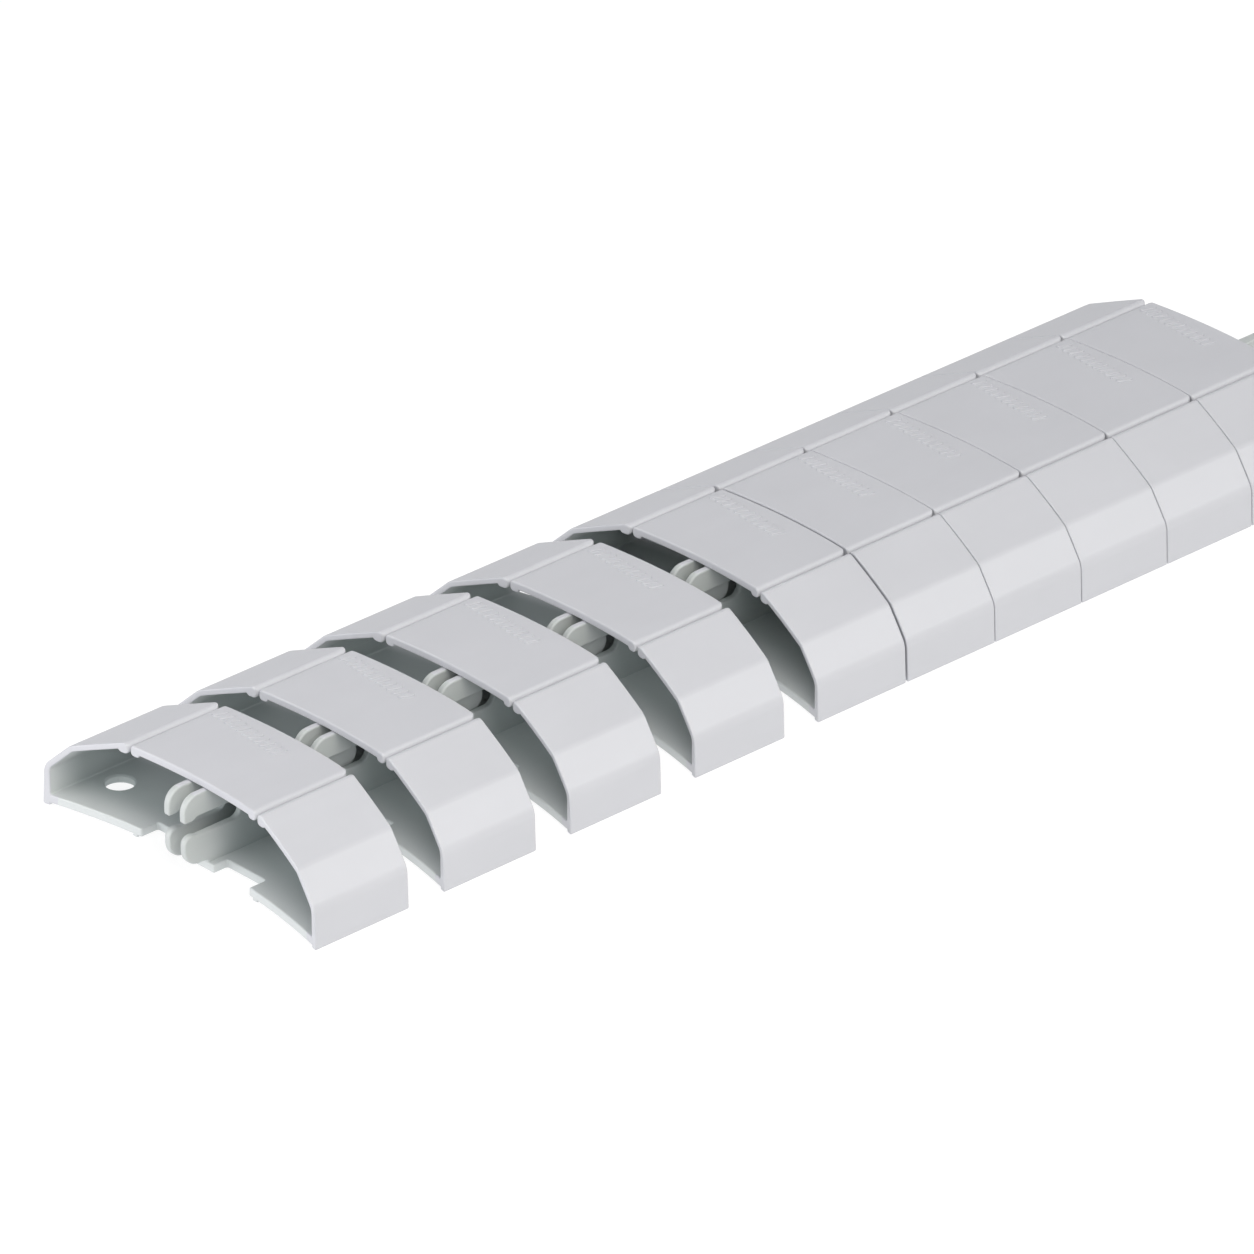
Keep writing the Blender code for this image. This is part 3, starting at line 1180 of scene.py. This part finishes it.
@dataclass
class ChannelLink:
    """One link of the channel: all its parts as one moulding."""

    plan: LinkPlan = field(default_factory=LinkPlan)
    sharp_angle: float = 42.0
    flat_weight: int = 60

    def mould(self) -> bpy.types.Mesh:
        """Make the moulding in the link's own frame.

        Returns:
            The closed mesh in metres, with smooth normals and a material zone for every face.
        """
        plan = self.plan
        wings, base, fork, tongue = WingShell(plan), BasePlate(plan), Fork(plan), Tongue()
        holes, marks = ScrewHoles(plan), GripMarks(plan)
        solids = [base.build(), TopPlate(plan).build(), fork.web(), tongue.blade(), tongue.pin()]
        for side in Side:
            solids += [wings.build(side), base.runner(side), fork.fin(side)]
        solids += marks.build()
        cutters = [holes.cutter(side) for side in Side]
        mesh = Joiner().join("channel_link", solids, cutters)
        self._paint_zones(mesh)
        mesh.transform(Matrix.Scale(MM, 4))
        smooth = self._smooth(mesh)
        self._note_places(smooth)
        return smooth

    @staticmethod
    def _note_places(mesh: bpy.types.Mesh) -> None:
        """Keep every point's place in the mould, for the materials.

        Args:
            mesh: The moulding, in metres, in the link's own frame.
        """
        places = mesh.attributes.new(PLACE, "FLOAT_VECTOR", "POINT")
        for vert, place in zip(mesh.vertices, places.data):
            place.vector = vert.co

    def _paint_zones(self, mesh: bpy.types.Mesh) -> None:
        """Give each face its material zone.

        Args:
            mesh: The moulding in millimetres.
        """
        zones = ZoneMap(self.plan)
        for face in mesh.polygons:
            face.material_index = zones.zone(face.center, face.normal).value

    def _smooth(self, mesh: bpy.types.Mesh) -> bpy.types.Mesh:
        """Smooth the normals so that flat faces stay flat beside their rounded edges.

        Args:
            mesh: The moulding.

        Returns:
            The mesh with its own normals.
        """
        mesh.shade_smooth()
        mesh.set_sharp_from_angle(angle=math.radians(self.sharp_angle))
        holder = put("normals", mesh)
        weighted = holder.modifiers.new("weighted", "WEIGHTED_NORMAL")
        weighted.keep_sharp = True
        weighted.weight = self.flat_weight
        result = finished_mesh(holder)
        result.name = "channel_link"
        bpy.data.meshes.remove(mesh)
        return result


@dataclass
class Channel:
    """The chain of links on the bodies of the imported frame.

    Attributes:
        link: The link that is repeated.
        count: How many links there are.
        nose_front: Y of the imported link's fork noses in the link's own frame, in millimetres.
    """

    link: ChannelLink = field(default_factory=ChannelLink)
    count: int = 10
    nose_front: float = -1.0

    def build(self) -> list[bpy.types.Object]:
        """Set a moulding down on every body.

        Returns:
            The pieces.
        """
        mould = self.link.mould()
        for finish in (SKIN, INSIDE, FORK):
            mould.materials.append(finish.build())
        pieces = []
        for number in range(1, self.count + 1):
            node = f"link_{number:02d}"
            lowest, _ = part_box(node)
            mesh = mould.copy()
            mesh.transform(Matrix.Translation((0.0, lowest.y - self.nose_front * MM, 0.0)))
            piece = put(f"moulding_{number:02d}", mesh)
            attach(piece, node)
            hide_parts(node)
            pieces.append(piece)
        bpy.data.meshes.remove(mould)
        return pieces


@dataclass(frozen=True)
class SoftBox:
    """A square soft box that looks at the middle of the channel.

    Attributes:
        name: Name of the light.
        azimuth: Where it hangs round the channel, in degrees from the front towards the right.
        elevation: How high, in degrees.
        distance: How far, in metres.
        size: Its side, in metres.
        power: Its power, in watts.
        colour: Colour of its light.
    """

    name: str
    azimuth: float
    elevation: float
    distance: float
    size: float
    power: float
    colour: tuple[float, float, float] = (1.0, 1.0, 1.0)

    def hang(self) -> None:
        """Hang the box."""
        a, e = math.radians(self.azimuth), math.radians(self.elevation)
        back = Vector((math.sin(a) * math.cos(e), -math.cos(a) * math.cos(e), math.sin(e)))
        light = bpy.data.lights.new(self.name, "AREA")
        light.shape = "SQUARE"
        light.size = self.size
        light.energy = self.power
        light.color = self.colour
        box = put(self.name, light)
        box.location = back * self.distance
        box.rotation_mode = "QUATERNION"
        box.rotation_quaternion = (-back).to_track_quat("-Z", "Y")


@dataclass
class Studio:
    """White floor, soft light from all round, and the camera."""

    azimuth: float = 47.462
    elevation: float = 28.226
    roll: float = -0.379
    place: tuple[float, float, float] = (2.05603, -1.92517, 1.51172)
    lens: float = 368.376
    sensor: float = 36.0
    clip: tuple[float, float] = (0.1, 50.0)
    floor_half: float = 6.0
    floor_cells: int = 8
    floor_gap: float = 0.0001
    sky: float = 0.34
    sky_colour: tuple[float, float, float] = (0.98, 0.99, 1.04)
    boxes: tuple[SoftBox, ...] = (
        SoftBox("key_box", azimuth=50.0, elevation=38.0, distance=1.2, size=0.7, power=5.0,
                colour=(1.0, 0.99, 0.96)),
        SoftBox("right_box", azimuth=80.0, elevation=48.0, distance=2.0, size=1.0, power=10.8,
                colour=(1.0, 0.97, 0.82)),
        SoftBox("top_box", azimuth=20.0, elevation=85.0, distance=2.0, size=1.5, power=8.9),
        SoftBox("rear_box", azimuth=140.0, elevation=38.0, distance=2.0, size=1.0, power=9.0),
        SoftBox("front_box", azimuth=-18.0, elevation=10.0, distance=0.8, size=0.5, power=3.0),
    )

    def build(self) -> None:
        """Build the whole studio."""
        self._floor()
        self._sky()
        self._lights()
        self._camera()
        scene = bpy.context.scene
        scene.view_settings.view_transform = "Standard"
        scene.view_settings.look = "None"

    def _floor(self) -> None:
        """Lay the floor just under the feet."""
        grid = bmesh.new()
        bmesh.ops.create_grid(grid, x_segments=self.floor_cells, y_segments=self.floor_cells,
                              size=self.floor_half)
        bmesh.ops.translate(grid, verts=list(grid.verts), vec=(0.0, 0.0, -self.floor_gap))
        mesh = bpy.data.meshes.new("studio_floor")
        grid.to_mesh(mesh)
        grid.free()
        mesh.materials.append(StudioFloor().build())
        floor = put("studio_floor", mesh)

    def _sky(self) -> None:
        """Fill the room with even light, a touch bluer than the boxes."""
        world = bpy.data.worlds.new("studio_sky")
        world.use_nodes = True
        background = world.node_tree.nodes["Background"]
        background.inputs["Color"].default_value = (*self.sky_colour, 1.0)
        background.inputs["Strength"].default_value = self.sky
        bpy.context.scene.world = world

    def _lights(self) -> None:
        """Hang the soft boxes."""
        for box in self.boxes:
            box.hang()

    def _camera(self) -> None:
        """Set the camera up at the photograph's viewing angle."""
        a, e = math.radians(self.azimuth), math.radians(self.elevation)
        ahead = Vector((-math.cos(e) * math.sin(a), math.cos(e) * math.cos(a), -math.sin(e)))
        right = Vector((math.cos(a), math.sin(a), 0.0))
        turn = Matrix.Rotation(math.radians(-self.roll), 3, ahead)
        right = turn @ right
        up = right.cross(ahead)
        data = bpy.data.cameras.new("photo_camera")
        data.sensor_width = self.sensor
        data.lens = self.lens
        data.clip_start, data.clip_end = self.clip
        camera = put("photo_camera", data)
        axes = Matrix((right, up, -ahead)).transposed().to_4x4()
        camera.matrix_world = Matrix.Translation(self.place) @ axes
        bpy.context.scene.camera = camera


def main() -> None:
    """Load the frame, dress it, and set up the studio."""
    logging.basicConfig(level=logging.INFO, format="%(name)s: %(message)s")
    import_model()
    for piece in Channel().build():
        LOG.info("%s: %d faces", piece.name, len(piece.data.polygons))
    Studio().build()
    bpy.context.view_layer.update()


if __name__ == "__main__":
    main()
